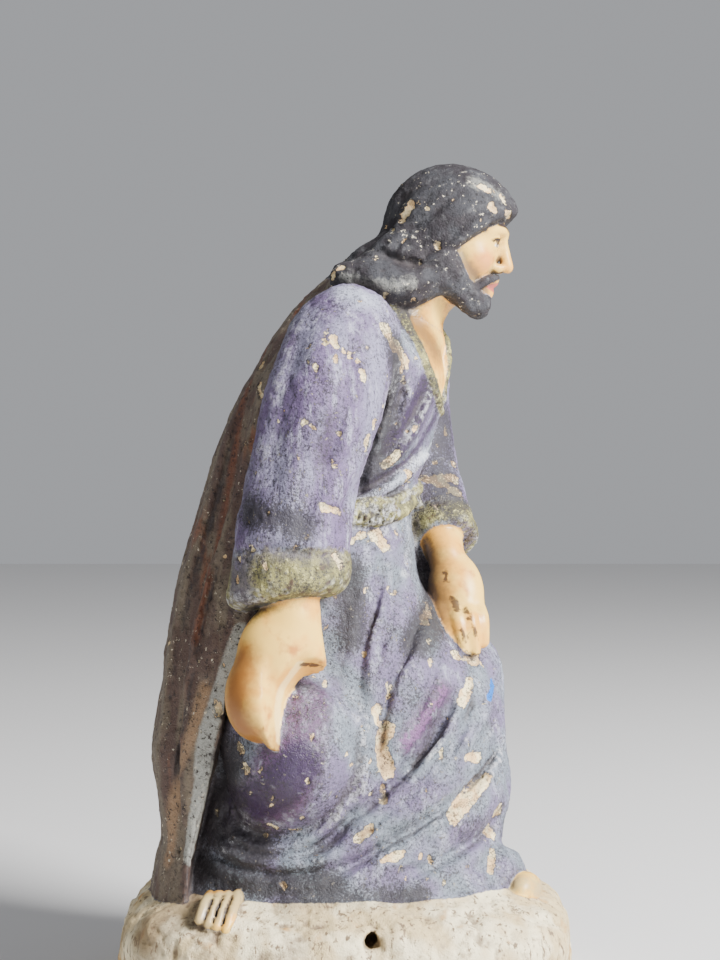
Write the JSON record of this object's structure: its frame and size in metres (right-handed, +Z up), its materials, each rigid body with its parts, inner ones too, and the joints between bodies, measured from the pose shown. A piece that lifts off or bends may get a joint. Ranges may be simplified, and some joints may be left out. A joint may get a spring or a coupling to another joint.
{
  "type": "nativity figurine",
  "caption": "small painted clay nativity figurine of a stooping bearded figure in a belted robe and mantle, one hand on the bent knee, moulded in one with its mound base",
  "frame": {"origin": "centre of the underside of the base", "axes": "+Z is up, +X is the way the figure faces, and -Y is the figure's right side, which the picture shows"},
  "size_m": [0.0704, 0.0592, 0.1305],
  "materials": {
    "painted_clay": "matte oil or tempera paint on fired clay, worn and chipped to the pale ground"
  },
  "bodies": {
    "root": {"figurine": "painted_clay"}
  },
  "joints": []
}
